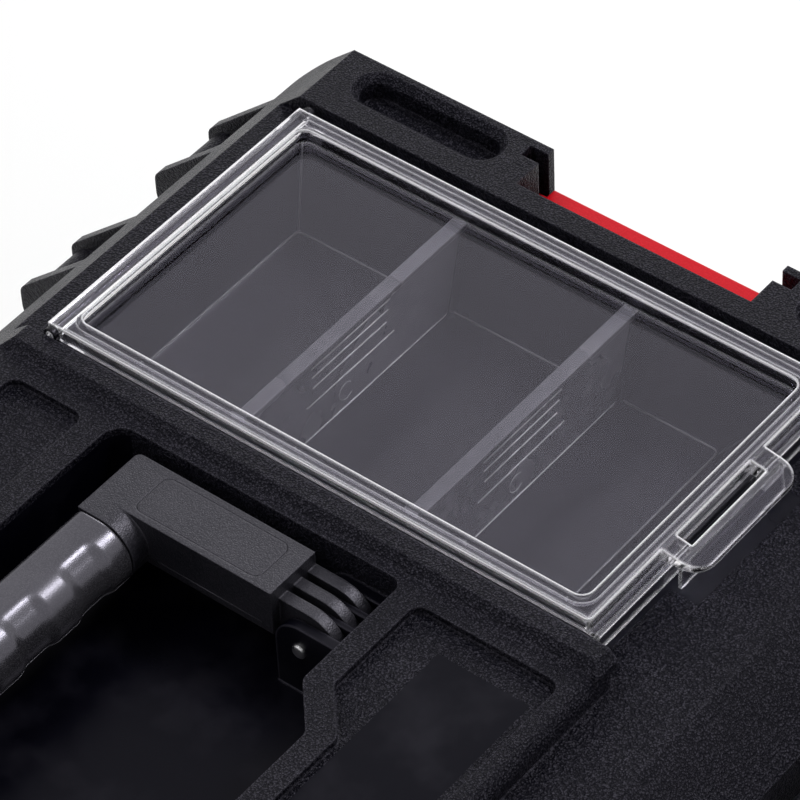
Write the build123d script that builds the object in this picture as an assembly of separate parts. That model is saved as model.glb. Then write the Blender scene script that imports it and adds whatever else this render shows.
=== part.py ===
"""Stackable tool case with two clear-lidded parts organizers in its lid.

Millimetres, +Z up, +X along the case, -Y to the front where the latches are.
The origin is on the ground under the middle of the case.
"""
import os
from math import hypot

from build123d import *

# The case as a whole, with the room its hinge and its latches take
case_height = 223.0
case_half_length = 265.0
case_half_depth = 162.5
lid_height = 60.0
lid_gap = 0.2
hinge_room = 26.0
latch_room = 18.5
shell_wall = 3.0
corner_radius = 10.0

# Lid: the sloped edges along its front and rear
slope_run = 18.2
slope_drop = 16.5
cut_reach = 90.0

# Lid: levels of its top, each measured down from the top of the corner blocks
plateau_drop = 5.0
bay_drop = 8.0
apron_drop = 13.7
front_edge_drop = 33.0
panel_depth = 2.5

# Lid: where those levels meet, measured from its middle or from its front wall
plateau_half_x = 113.0
plateau_setback = 47.0
bay_setback = 58.2
apron_setback = 22.5
step_radius = 5.0

# Lid: the raised ridge along each side of the plateau
ridge_height = 3.0
ridge_width = 6.0
ridge_slope_run = 3.5
ridge_setback = 3.0

# Corner blocks with their stacking sockets, and the recess between them
block_width = 27.0
block_length_share = 0.279857
recess_depth = 19.0
socket_inset = 10.4
socket_width = 11.5
socket_recess_margin = 14.25
socket_outer_margin = 11.75
socket_depth = 9.0
socket_rim = 2.5
socket_rim_angle = 45

# Feet under the tub, one for each socket
foot_height = 7.0
foot_clearance = 1.5
foot_pad_edge = 1.0

# Tub
tub_step_in = 3.0
rim_height = 10.0
tub_corner_radius = 12.0

# Lid hinge: ears on the lid, knuckles on the tub, one rod on each side
hinge_setback = 15.0
hinge_drop = 47.0
ear_insets = (113.9, 89.8, 49.5, 23.0)
ear_thickness = 4.0
ear_corner_radius = 5.0
knuckle_radius = 10.0
knuckle_gap = 0.4
knuckle_foot_drop = 45.0
knuckle_shoulder_drop = 5.0
lid_back_clearance = 1.5
hinge_rod_radius = 2.5
hinge_rod_overhang = 1.5

# Handle pocket in the middle of the lid
pocket_margin = 12.6
pocket_rear_share = 0.219251
pocket_length_share = 0.379679
pocket_bulge = 13.0
pocket_bulge_outer_x = 55.6
pocket_bulge_inner_x = 41.0
pocket_drop = 42.0
pocket_corner_radius = 7.0
pocket_front_radius = 4.0

# Shallow panels before and behind the pocket
panel_margin = 16.5
panel_ridge = 9.0
rear_panel_margin = 24.5
label_panel_margin = 7.0
label_ridge = 8.0
panel_corner_radius = 4.0

# Carrying handle
handle_side_gap = 4.4
handle_rear_gap = 12.0
handle_drop = 7.0
arm_width = 20.0
arm_thickness = 17.0
handle_corner_radius = 2.0
bar_height = 23.0
bar_depth = 20.0
grip_setback = 6.7
grip_core_radius = 7.0
cap_margin = 2.2
cap_rear_margin = 13.0
cap_front_margin = 6.5
cap_depth = 2.0
cap_gap = 0.15
cap_corner_radius = 3.0

# Handle pivot: fingers on the arms between tongues on the lid
pivot_setback = 18.5
pivot_drop = 24.0
arm_setback = 10.0
finger_count = 3
finger_width = 3.8
finger_slot = 2.6
finger_radius = 12.2
tongue_radius = 9.0
tongue_gap = 0.4
cheek_thickness = 3.4
handle_pin_radius = 2.4
handle_pin_proud = 0.6
running_clearance = 0.05
seat_clearance = 0.02

# Organizer covers, in the bay between the plateau and the corner blocks
cover_near_gap = 3.0
cover_far_gap = 4.3
cover_rear_gap = 3.3
cover_front_gap = 0.8
cover_sheet = 2.0
cover_rim = 6.2
cover_skirt = 1.6
cover_skirt_height = 5.4
cover_panel_drop = 5.0
cover_corner_radius = 2.0
cover_pane_radius = 4.0
cover_rear_strip = 4.0
barrel_radius = 2.4
trunnion_radius = 1.4
trunnion_length = 2.4
hinge_lug_thickness = 1.8
hinge_lug_radius = 2.35
hinge_lug_gap = 0.4

# Front skirt and snap tab of a cover
front_ledge_reach = 3.6
front_ledge_drop = 4.0
front_skirt_drop = 10.0
tab_half_width = 25.0
tab_reach = 13.5
tab_corner_radius = 7.0
tab_slot_half_length = 18.0
tab_slot_width = 5.4
tab_leg_drop = 12.8
tab_leg_thickness = 1.2
tab_leg_inset = 0.5

# Organizer trays
tray_wall = 2.0
tray_edge_inset = 3.6
tray_flange = 2.0
tray_flange_reach = 0.5
tray_bead_inset = 2.2
tray_bead_drop = 2.7
tray_floor_drop = 40.0
tray_side_draw = 8.4
tray_rear_draw = 3.0
tray_front_draw = 26.0
tray_lip_height = 2.0
tray_corner_radius = 3.0
tray_floor_radius = 2.5
tray_hole_gap = 0.5
tray_lug_length = 6.0

# Dividers of the organizers and the guide ribs that hold them
divider_shares = (0.3335, 0.6555)
divider_wall = 2.0
divider_top_width = 4.8
divider_top_height = 2.0
divider_drop = 8.0
divider_gap = 0.3
guide_thickness = 1.5
guide_reach = 2.5

# Front latches
latch_inset = 115.0
latch_half_width = 42.0
latch_axis_drop = 41.0
latch_barrel_radius = 7.0
latch_plate_thickness = 5.0
latch_tail = 35.0
latch_nib_play = 3.0
latch_nib_height = 4.0
latch_nib_gap = 0.5
latch_pin_radius = 2.0
lug_thickness = 5.0
lug_gap = 0.5

# Side clips
clip_inset = 5.3
clip_axis_drop = 19.3
clip_barrel_radius = 4.0
clip_end_gap = 0.8
clip_plate_thickness = 4.0
clip_foot_rise = 6.0
clip_lip_height = 5.0
clip_trunnion_radius = 2.6
clip_trunnion_length = 6.0
clip_slot_spare = 0.8
clip_window_share = 0.5
clip_window_height = 14.0

# Levels that follow from the sizes above
parting_z = case_height - lid_height
lid_foot_z = parting_z + lid_gap
plateau_z = case_height - plateau_drop
bay_z = case_height - bay_drop
apron_z = case_height - apron_drop
hinge_z = case_height - hinge_drop
latch_axis_z = case_height - latch_axis_drop
clip_axis_z = case_height - clip_axis_drop
clip_foot_z = parting_z + clip_foot_rise
handle_top_z = case_height - handle_drop
pivot_z = case_height - pivot_drop
pocket_floor_z = case_height - pocket_drop
barrel_z = case_height - barrel_radius
flange_z = bay_z + tray_flange
tray_floor_z = case_height - tray_floor_drop

# Places along the depth of the case
lid_rear_y = case_half_depth - hinge_room
lid_front_y = latch_room - case_half_depth
lid_mid_y = (lid_rear_y + lid_front_y) / 2
lid_depth = lid_rear_y - lid_front_y
hinge_y = lid_rear_y + hinge_setback
latch_axis_y = latch_barrel_radius - case_half_depth
block_rear_y = lid_rear_y - slope_run
block_length = block_length_share * lid_depth
block_end_y = block_rear_y - block_length
block_front_y = 2 * lid_mid_y - block_rear_y
front_block_end_y = 2 * lid_mid_y - block_end_y
socket_length = block_length - socket_recess_margin - socket_outer_margin
socket_mid_y = block_end_y + socket_recess_margin + socket_length / 2
plateau_front_y = lid_front_y + plateau_setback
bay_front_y = lid_front_y + bay_setback
apron_front_y = lid_front_y + apron_setback
pocket_rear_y = lid_rear_y - pocket_rear_share * lid_depth
pocket_front_y = pocket_rear_y - pocket_length_share * lid_depth
pocket_bulge_y = pocket_front_y - pocket_bulge
rear_panel_front_y = pocket_rear_y + panel_ridge
rear_panel_rear_y = lid_rear_y - rear_panel_margin
label_panel_front_y = plateau_front_y + label_panel_margin
handle_rear_y = pocket_rear_y - handle_rear_gap
pivot_y = pocket_front_y + pivot_setback
arm_end_y = pivot_y + arm_setback
cover_rear_y = block_rear_y - cover_rear_gap
cover_front_y = bay_front_y + cover_front_gap
front_ledge_y = cover_front_y - front_ledge_reach
barrel_y = cover_rear_y - barrel_radius

# Places along the length of the case
bay_outer_x = case_half_length - block_width
recess_x = case_half_length - recess_depth
socket_x = case_half_length - socket_inset
clip_axis_x = case_half_length - clip_inset
latch_x = case_half_length - latch_inset
latch_pin_reach = latch_half_width + lug_gap + lug_thickness
pocket_half_x = plateau_half_x - pocket_margin
panel_half_x = plateau_half_x - panel_margin
handle_half_x = pocket_half_x - handle_side_gap
arm_inner_x = handle_half_x - arm_width
grip_half_x = arm_inner_x - grip_setback
cover_near_x = plateau_half_x + cover_near_gap
cover_far_x = bay_outer_x - cover_far_gap
cover_mid_x = (cover_near_x + cover_far_x) / 2
finger_pitch = finger_width + finger_slot
finger_inner_x = handle_half_x - finger_count * finger_width - (finger_count - 1) * finger_slot
cheek_outer_x = finger_inner_x - tongue_gap
cheek_inner_x = cheek_outer_x - cheek_thickness

SIDES = {"right": 1, "left": -1}


def block(x0, x1, y0, y1, z0, z1):
    """A box between two corners."""
    size = Box(x1 - x0, y1 - y0, z1 - z0)
    return Pos((x0 + x1) / 2, (y0 + y1) / 2, (z0 + z1) / 2) * size


def rod_x(x0, x1, y, z, radius):
    """A round bar along X."""
    bar = Cylinder(radius, x1 - x0)
    return Pos((x0 + x1) / 2, y, z) * Rot(0, 90, 0) * bar


def rod_y(y0, y1, x, z, radius):
    """A round bar along Y."""
    bar = Cylinder(radius, y1 - y0)
    return Pos(x, (y0 + y1) / 2, z) * Rot(90, 0, 0) * bar


def profile_x(points, x0, x1):
    """An outline of (y, z) points drawn out along X."""
    outline = Plane.YZ.offset(x0) * Polygon(*points, align=None)
    return extrude(outline, amount=x1 - x0, dir=(1, 0, 0))


def upright(plan, z0, z1):
    """A plan drawn up from one level to another."""
    return extrude(Pos(0, 0, z0) * plan, amount=z1 - z0, dir=(0, 0, 1))


def rounded_plate(x0, x1, y0, y1, z0, z1, radius):
    """A plate with rounded corners in plan."""
    outline = RectangleRounded(x1 - x0, y1 - y0, radius)
    return upright(Pos((x0 + x1) / 2, (y0 + y1) / 2) * outline, z0, z1)


def tapered(low, high):
    """A body drawn between two rounded rectangles, each (x0, x1, y0, y1, z, radius)."""
    faces = []
    for x0, x1, y0, y1, z, radius in (low, high):
        outline = RectangleRounded(x1 - x0, y1 - y0, radius)
        faces.append(Pos((x0 + x1) / 2, (y0 + y1) / 2, z) * outline)
    return loft(faces)


def handed(solid, side):
    """The right-hand piece, or its mirror image for the left."""
    return solid if side > 0 else mirror(solid, about=Plane.YZ)


def both_sides(solid):
    """A right-hand solid joined with its mirror image."""
    return solid + mirror(solid, about=Plane.YZ)


def slope_cutter(head, foot, inset, half_x):
    """What lies outside a sloped face from head to foot, both (y, z), moved inward by inset."""
    run, drop = foot[0] - head[0], foot[1] - head[1]
    size = hypot(run, drop)
    along = (run / size, drop / size)
    out = (-along[1], along[0]) if run > 0 else (along[1], -along[0])
    start = (head[0] - out[0] * inset, head[1] - out[1] * inset)
    corners = []
    for ahead, aside in ((-cut_reach, 0), (cut_reach, 0), (cut_reach, cut_reach), (-cut_reach, cut_reach)):
        y = start[0] + along[0] * ahead + out[0] * aside
        z = start[1] + along[1] * ahead + out[1] * aside
        corners.append((y, z))
    return profile_x(corners, -half_x, half_x)


def lid_form(inset):
    """The lid's outer form, or with an inset the hollow under it."""
    foot = lid_foot_z - (cut_reach if inset else 0)
    top = case_height - inset
    form = rounded_plate(
        inset - case_half_length,
        case_half_length - inset,
        lid_front_y + inset,
        lid_rear_y - inset,
        foot,
        top,
        corner_radius - inset,
    )
    form -= slope_cutter(
        (block_rear_y, case_height), (lid_rear_y, case_height - slope_drop), inset, case_half_length
    )
    form -= slope_cutter(
        (block_front_y, case_height), (lid_front_y, case_height - slope_drop), inset, case_half_length
    )
    recess = block(
        recess_x - inset,
        case_half_length,
        front_block_end_y - inset,
        block_end_y + inset,
        foot,
        case_height,
    )
    form -= both_sides(recess)
    form -= block(
        -plateau_half_x, plateau_half_x, lid_front_y, lid_rear_y, plateau_z - inset, case_height
    )
    bay_x = (plateau_half_x - inset, bay_outer_x + inset)
    bay = block(*bay_x, lid_front_y, lid_rear_y, bay_z - inset, case_height)
    bay += block(*bay_x, lid_front_y, bay_front_y + inset, apron_z - inset, case_height)
    form -= both_sides(bay)
    form -= block(
        -plateau_half_x, plateau_half_x, lid_front_y, plateau_front_y + inset, apron_z - inset, case_height
    )
    form -= slope_cutter(
        (apron_front_y, apron_z), (lid_front_y, case_height - front_edge_drop), inset, bay_outer_x + inset
    )
    return form


def rounded_plateau(form):
    """The lid's outer form with the front edge of its middle plateau rounded over."""
    edges = form.edges().filter_by_position(Axis.Y, plateau_front_y, plateau_front_y)
    edges = edges.filter_by_position(Axis.X, -plateau_half_x, plateau_half_x)
    edges = edges.filter_by_position(Axis.Z, (apron_z + bay_z) / 2, plateau_z)
    return fillet(edges, step_radius)


def pocket_outline():
    """Plan of the handle pocket, with the bay for the fingers at its front."""
    half = [
        (pocket_half_x, pocket_rear_y),
        (pocket_half_x, pocket_front_y),
        (pocket_bulge_outer_x, pocket_front_y),
        (pocket_bulge_inner_x, pocket_bulge_y),
    ]
    other = [(-x, y) for x, y in reversed(half)]
    plan = Polygon(*half, *other, align=None)
    rear = plan.vertices().group_by(Axis.Y)[-1]
    plan = fillet(rear, pocket_corner_radius)
    front = plan.vertices().filter_by_position(Axis.Y, pocket_bulge_y, pocket_front_y)
    return fillet(front, pocket_front_radius)


def label_outline():
    """Plan of the bare panel in front of the pocket, which follows the pocket's edge."""
    half = [
        (panel_half_x, label_panel_front_y),
        (panel_half_x, pocket_front_y - label_ridge),
        (pocket_bulge_outer_x + label_ridge / 2, pocket_front_y - label_ridge),
        (pocket_bulge_inner_x + label_ridge / 2, pocket_bulge_y - label_ridge),
    ]
    other = [(-x, y) for x, y in reversed(half)]
    plan = Polygon(*half, *other, align=None)
    return fillet(plan.vertices(), panel_corner_radius)


def side_ridge():
    """The raised ridge between the plateau and the right-hand bay, with sloped ends."""
    ridge_z = plateau_z + ridge_height
    crest_x = plateau_half_x - ridge_width
    outline = Polygon(
        (crest_x - ridge_slope_run, plateau_z),
        (crest_x, ridge_z),
        (plateau_half_x, ridge_z),
        (plateau_half_x, plateau_z - shell_wall),
        (crest_x - ridge_slope_run, plateau_z - shell_wall),
        align=None,
    )
    ridge_front_y = plateau_front_y + ridge_setback
    start_y = ridge_front_y - ridge_height
    ridge = extrude(Plane.XZ.offset(-start_y) * outline, amount=lid_rear_y - start_y, dir=(0, 1, 0))
    ridge -= slope_cutter((ridge_front_y, ridge_z), (start_y, plateau_z), 0, case_half_length)
    ridge -= slope_cutter(
        (block_rear_y, case_height), (lid_rear_y, case_height - slope_drop), 0, case_half_length
    )
    return ridge


def stadium(x, y, z0, z1, length, width):
    """An upright slot shape along Y."""
    return upright(Pos(x, y) * SlotOverall(length, width, rotation=90), z0, z1)


def socket_places():
    """Middles of the stacking sockets on the right-hand side."""
    return [(socket_x, socket_mid_y), (socket_x, 2 * lid_mid_y - socket_mid_y)]


def hinge_ear(x0):
    """One ear of the lid hinge: it follows the sloped edge down to a rounded back."""
    rise = slope_drop / slope_run
    ear_radius = case_half_depth - hinge_y
    outline = Polygon(
        (lid_rear_y - shell_wall / 2, case_height - slope_drop),
        (lid_rear_y, case_height - slope_drop),
        (case_half_depth, case_height - slope_drop - hinge_room * rise),
        (case_half_depth, hinge_z),
        (hinge_y, hinge_z - ear_radius),
        (lid_rear_y - shell_wall / 2, hinge_z - ear_radius),
        align=None,
    )
    crown = outline.vertices().sort_by(Axis.X)[-2:]
    outline = fillet(crown.sort_by(Axis.Y)[-1], ear_corner_radius)
    ear = extrude(Plane.YZ.offset(x0) * outline, amount=ear_thickness, dir=(1, 0, 0))
    ear += rod_x(x0, x0 + ear_thickness, hinge_y, hinge_z, ear_radius)
    return ear


def tongue(x0, x1):
    """A plate that stands on the pocket floor and holds the handle pin."""
    plate = block(x0, x1, pocket_front_y, pivot_y, pocket_floor_z, pivot_z + tongue_radius)
    plate += block(x0, x1, pivot_y, pivot_y + tongue_radius, pocket_floor_z, pivot_z)
    plate += rod_x(x0, x1, pivot_y, pivot_z, tongue_radius)
    return plate


def handle_bearing():
    """What carries the handle on the right: a cheek, the tongues and the thickened wall."""
    bearing = tongue(cheek_inner_x, cheek_outer_x)
    for slot in range(finger_count - 1):
        start = finger_inner_x + finger_width + slot * finger_pitch
        bearing += tongue(start + tongue_gap, start + finger_slot - tongue_gap)
    bearing += tongue(handle_half_x + tongue_gap, pocket_half_x)
    return bearing


def latch_lugs():
    """The pair of lugs on the lid front that hold a latch pin."""
    lugs = []
    for edge in (latch_x - latch_pin_reach, latch_x + latch_pin_reach - lug_thickness):
        lug = rod_x(edge, edge + lug_thickness, latch_axis_y, latch_axis_z, latch_barrel_radius)
        lug += block(
            edge,
            edge + lug_thickness,
            latch_axis_y,
            lid_front_y + shell_wall / 2,
            latch_axis_z - latch_barrel_radius,
            latch_axis_z + latch_barrel_radius,
        )
        lugs.append(lug)
    return lugs[0] + lugs[1]


def clip_slot(y0, y1):
    """The slot in a corner block where a side clip's trunnion drops in."""
    seat = clip_trunnion_radius + running_clearance
    neck = clip_trunnion_radius - seat_clearance
    slot = rod_y(y0, y1, clip_axis_x, clip_axis_z, seat)
    slot += block(clip_axis_x - neck, clip_axis_x + neck, y0, y1, clip_axis_z, case_height)
    return slot


def hinge_line(overhang, radius):
    """A round bar along the hinge axis, from the first ear of one side to the last."""
    x0 = case_half_length - ear_insets[0] - overhang
    x1 = case_half_length - ear_insets[-1] + ear_thickness + overhang
    return rod_x(x0, x1, hinge_y, hinge_z, radius)


def latch_line(radius):
    """A round bar along the axis of a latch, through both of its lugs."""
    return rod_x(latch_x - latch_pin_reach, latch_x + latch_pin_reach, latch_axis_y, latch_axis_z, radius)


def make_lid():
    """Lid shell: a hollow moulding with pocket, bays, corner blocks and hinge ears."""
    lid = rounded_plateau(lid_form(0)) - lid_form(shell_wall)
    lid += both_sides(side_ridge())
    well = offset(pocket_outline(), shell_wall)
    lid += upright(well, pocket_floor_z - shell_wall, plateau_z - shell_wall)
    rear_panel = RectangleRounded(
        2 * panel_half_x, rear_panel_rear_y - rear_panel_front_y, panel_corner_radius
    )
    panel_z = plateau_z - panel_depth
    for plan in (label_outline(), Pos(0, (rear_panel_front_y + rear_panel_rear_y) / 2) * rear_panel):
        lid += upright(offset(plan, shell_wall), panel_z - shell_wall, panel_z)
        lid -= upright(plan, panel_z, case_height)
    lid -= upright(pocket_outline(), pocket_floor_z, case_height)
    hole = block(
        cover_near_x + tray_edge_inset - tray_wall - tray_hole_gap,
        cover_far_x - tray_edge_inset + tray_wall + tray_hole_gap,
        cover_front_y + tray_edge_inset - tray_wall - tray_hole_gap,
        cover_rear_y - tray_edge_inset + tray_wall + tray_hole_gap,
        bay_z - shell_wall,
        case_height,
    )
    lid -= both_sides(hole)
    for x, y in socket_places():
        cup = stadium(
            x,
            y,
            case_height - socket_depth - shell_wall,
            case_height - shell_wall,
            socket_length + shell_wall,
            socket_width + shell_wall,
        )
        lid += both_sides(cup)
        socket = stadium(x, y, case_height - socket_depth, case_height, socket_length, socket_width)
        rim = Pos(x, y, case_height - socket_rim) * SlotOverall(socket_length, socket_width, rotation=90)
        socket += extrude(rim, amount=socket_rim, taper=-socket_rim_angle)
        lid -= both_sides(socket)
    for inset in ear_insets:
        lid += both_sides(hinge_ear(case_half_length - inset))
    lid += both_sides(latch_lugs())
    lid += both_sides(handle_bearing())
    bores = hinge_line(0, hinge_rod_radius + running_clearance)
    bores += latch_line(latch_pin_radius + seat_clearance)
    bores += rod_x(cheek_inner_x, pocket_half_x, pivot_y, pivot_z, handle_pin_radius + seat_clearance)
    depth = clip_trunnion_length + clip_slot_spare
    bores += clip_slot(block_end_y, block_end_y + depth)
    bores += clip_slot(front_block_end_y - depth, front_block_end_y)
    lid -= both_sides(bores)
    return lid


def make_tub():
    """Tub: straight walls under a stepped rim, with the knuckles of the lid hinge."""
    half_x = case_half_length - tub_step_in
    tub = rounded_plate(
        -half_x,
        half_x,
        lid_front_y + tub_step_in,
        lid_rear_y - tub_step_in,
        foot_height,
        parting_z,
        tub_corner_radius,
    )
    tub += rounded_plate(
        -case_half_length,
        case_half_length,
        lid_front_y,
        lid_rear_y,
        parting_z - rim_height,
        parting_z,
        corner_radius,
    )
    tub -= rounded_plate(
        shell_wall - half_x,
        half_x - shell_wall,
        lid_front_y + tub_step_in + shell_wall,
        lid_rear_y - tub_step_in - shell_wall,
        foot_height + shell_wall,
        parting_z,
        tub_corner_radius - shell_wall,
    )
    near_y = lid_rear_y + lid_back_clearance
    back_y = hinge_y + knuckle_radius
    wall_y = lid_rear_y - tub_step_in - shell_wall / 2
    for first, second in (ear_insets[:2], ear_insets[2:]):
        x0 = case_half_length - first + ear_thickness + knuckle_gap
        x1 = case_half_length - second - knuckle_gap
        arm = profile_x(
            [
                (wall_y, parting_z - knuckle_foot_drop),
                (back_y, parting_z - knuckle_shoulder_drop),
                (back_y, hinge_z),
                (hinge_y - knuckle_radius, hinge_z),
                (near_y, parting_z),
                (wall_y, parting_z),
            ],
            x0,
            x1,
        )
        arm += rod_x(x0, x1, hinge_y, hinge_z, knuckle_radius)
        arm -= rod_x(x0, x1, hinge_y, hinge_z, hinge_rod_radius + seat_clearance)
        tub += both_sides(arm)
    return tub


def make_hinge_rod():
    """Steel rod through the ears and knuckles of one side."""
    return hinge_line(hinge_rod_overhang, hinge_rod_radius)


def make_foot(x, y):
    """Rubber foot, shaped to drop into the socket of a case below."""
    pad = stadium(x, y, 0, foot_height, socket_length - foot_clearance, socket_width - foot_clearance)
    return chamfer(pad.edges().group_by(Axis.Z)[0], foot_pad_edge)


def tray_cavity(side_inset, foot_z, grow):
    """The hollow of a tray, grown by a wall for its outer form."""
    low = (
        cover_near_x + tray_edge_inset + tray_side_draw + side_inset - grow,
        cover_far_x - tray_edge_inset - tray_side_draw - side_inset + grow,
        cover_front_y + tray_edge_inset + tray_front_draw - grow,
        cover_rear_y - tray_edge_inset - tray_rear_draw + grow,
        foot_z,
        tray_corner_radius + grow,
    )
    mouth = (
        cover_near_x + tray_edge_inset + side_inset - grow,
        cover_far_x - tray_edge_inset - side_inset + grow,
        cover_front_y + tray_edge_inset - grow,
        cover_rear_y - tray_edge_inset + grow,
    )
    lip_z = flange_z - tray_lip_height
    radius = tray_corner_radius + grow
    cavity = tapered(low, (*mouth, lip_z, radius))
    cavity = fillet(cavity.edges().group_by(Axis.Z)[0], tray_floor_radius)
    return cavity + rounded_plate(*mouth, lip_z, flange_z, radius)


def divider_places():
    """Middles of the dividers along the depth of the case, the rear one first."""
    return [cover_rear_y - share * (cover_rear_y - cover_front_y) for share in divider_shares]


def make_tray():
    """Organizer tray: a drop-in moulding with sloped walls, flange, bead and divider guides."""
    tray = tray_cavity(0, tray_floor_z - tray_wall, tray_wall)
    tray += block(
        cover_near_x - tray_flange_reach,
        cover_far_x + tray_flange_reach,
        bay_front_y,
        cover_rear_y + tray_flange_reach,
        bay_z,
        flange_z,
    )
    bead_z = case_height - tray_bead_drop
    bead = block(
        cover_near_x + tray_bead_inset,
        cover_far_x - tray_bead_inset,
        cover_front_y + tray_bead_inset,
        cover_rear_y - 2 * cover_rim,
        flange_z,
        bead_z,
    )
    bead -= block(
        cover_near_x + tray_edge_inset,
        cover_far_x - tray_edge_inset,
        cover_front_y + tray_edge_inset,
        cover_rear_y,
        flange_z,
        bead_z,
    )
    tray += bead
    for edge, way in ((cover_near_x, -1), (cover_far_x, 1)):
        inner = edge + way * hinge_lug_gap
        outer = inner + way * hinge_lug_thickness
        x0, x1 = min(inner, outer), max(inner, outer)
        lug = rod_x(x0, x1, barrel_y, barrel_z, hinge_lug_radius)
        lug += block(x0, x1, barrel_y - hinge_lug_radius, barrel_y + hinge_lug_radius, bay_z, barrel_z)
        lug += block(
            min(outer, edge - way * tray_wall),
            max(outer, edge - way * tray_wall),
            barrel_y - tray_lug_length / 2,
            barrel_y + tray_lug_length / 2,
            bay_z,
            flange_z,
        )
        lug -= rod_x(x0, x1, barrel_y, barrel_z, trunnion_radius + running_clearance)
        tray += lug
    tray -= tray_cavity(0, tray_floor_z, 0)
    ring = tray_cavity(0, tray_floor_z, 0) - tray_cavity(guide_reach, tray_floor_z, 0)
    guide_top_z = case_height - divider_drop - divider_top_height - divider_gap
    for middle in divider_places():
        for way in (-1, 1):
            inner = middle + way * (divider_wall / 2 + divider_gap)
            outer = inner + way * guide_thickness
            slab = block(
                cover_near_x, cover_far_x, min(inner, outer), max(inner, outer), tray_floor_z, guide_top_z
            )
            tray += ring & slab
    return tray


def make_divider(middle):
    """Lift-out divider: a thin wall with a wide top edge, cut to the slope of the tray."""
    slot = tray_cavity(divider_gap, tray_floor_z, 0)
    top_z = case_height - divider_drop
    wall = block(
        cover_near_x,
        cover_far_x,
        middle - divider_wall / 2,
        middle + divider_wall / 2,
        tray_floor_z + divider_gap,
        top_z,
    )
    top = block(
        cover_near_x,
        cover_far_x,
        middle - divider_top_width / 2,
        middle + divider_top_width / 2,
        top_z - divider_top_height,
        top_z,
    )
    return (wall + top) & slot


def make_cover():
    """Clear cover: a raised rim round a sunken pane, a hinge barrel and a snap tab."""
    panel_z = case_height - cover_panel_drop
    skirt_z = case_height - cover_skirt_height
    cover = rounded_plate(
        cover_near_x,
        cover_far_x,
        cover_front_y,
        cover_rear_y - barrel_radius,
        skirt_z,
        case_height,
        cover_corner_radius,
    )
    cover -= block(
        cover_near_x + cover_skirt,
        cover_far_x - cover_skirt,
        cover_front_y + cover_skirt,
        cover_rear_y,
        skirt_z,
        case_height - cover_sheet,
    )
    riser = cover_rim - cover_sheet
    cover += rounded_plate(
        cover_near_x + riser,
        cover_far_x - riser,
        cover_front_y + riser,
        cover_rear_y - riser,
        panel_z - cover_sheet,
        case_height,
        cover_pane_radius + cover_sheet,
    )
    cover -= rounded_plate(
        cover_near_x + cover_rim,
        cover_far_x - cover_rim,
        cover_front_y + cover_rim,
        cover_rear_y - cover_rim,
        panel_z,
        case_height,
        cover_pane_radius,
    )
    cover += rod_x(cover_near_x, cover_far_x, barrel_y, barrel_z, barrel_radius)
    cover += block(
        cover_near_x, cover_far_x, barrel_y, cover_rear_y, case_height - cover_rear_strip, case_height
    )
    cover += rod_x(
        cover_near_x - trunnion_length, cover_far_x + trunnion_length, barrel_y, barrel_z, trunnion_radius
    )
    ledge_z = case_height - front_ledge_drop
    skirt_foot_z = case_height - front_skirt_drop
    cover += block(
        cover_near_x,
        cover_far_x,
        front_ledge_y,
        cover_front_y + cover_skirt,
        ledge_z - cover_skirt,
        ledge_z,
    )
    cover += block(
        cover_near_x, cover_far_x, front_ledge_y, front_ledge_y + cover_skirt, skirt_foot_z, ledge_z
    )
    tab_front_y = cover_front_y - tab_reach
    tab = rounded_plate(
        cover_mid_x - tab_half_width,
        cover_mid_x + tab_half_width,
        tab_front_y,
        cover_front_y + tab_corner_radius,
        ledge_z,
        case_height,
        tab_corner_radius,
    )
    tab_edge = (tab_front_y, ledge_z + cover_skirt)
    tab -= slope_cutter((cover_front_y, case_height), tab_edge, 0, cover_far_x)
    slot_front_y = cover_front_y - tab_slot_width
    tab += block(
        cover_mid_x - tab_half_width + tab_leg_inset,
        cover_mid_x + tab_half_width - tab_leg_inset,
        slot_front_y - tab_leg_thickness,
        slot_front_y,
        case_height - tab_leg_drop,
        ledge_z + cover_skirt,
    )
    cover += tab - block(
        cover_near_x, cover_far_x, cover_front_y + cover_skirt, cover_rear_y, skirt_foot_z, case_height
    )
    cover -= block(
        cover_mid_x - tab_slot_half_length,
        cover_mid_x + tab_slot_half_length,
        slot_front_y,
        cover_front_y,
        skirt_foot_z,
        case_height,
    )
    return cover


def bar_section(x0, x1):
    """The D-shaped bar of the handle: flat at the back, round toward the fingers."""
    radius = bar_height / 2
    middle_y = handle_rear_y - bar_depth + radius
    middle_z = handle_top_z - radius
    bar = rod_x(x0, x1, middle_y, middle_z, radius)
    bar &= block(x0, x1, handle_rear_y - bar_depth, middle_y, handle_top_z - bar_height, handle_top_z)
    bar += block(x0, x1, middle_y, handle_rear_y, handle_top_z - bar_height, handle_top_z)
    return bar


def cap_plate(gap, z0, z1):
    """Plan of the inlay on top of the right-hand arm."""
    return rounded_plate(
        arm_inner_x + cap_margin + gap,
        handle_half_x - cap_margin - gap,
        arm_end_y + cap_front_margin + gap,
        handle_rear_y - cap_rear_margin - gap,
        z0,
        z1,
        cap_corner_radius - gap,
    )


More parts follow.
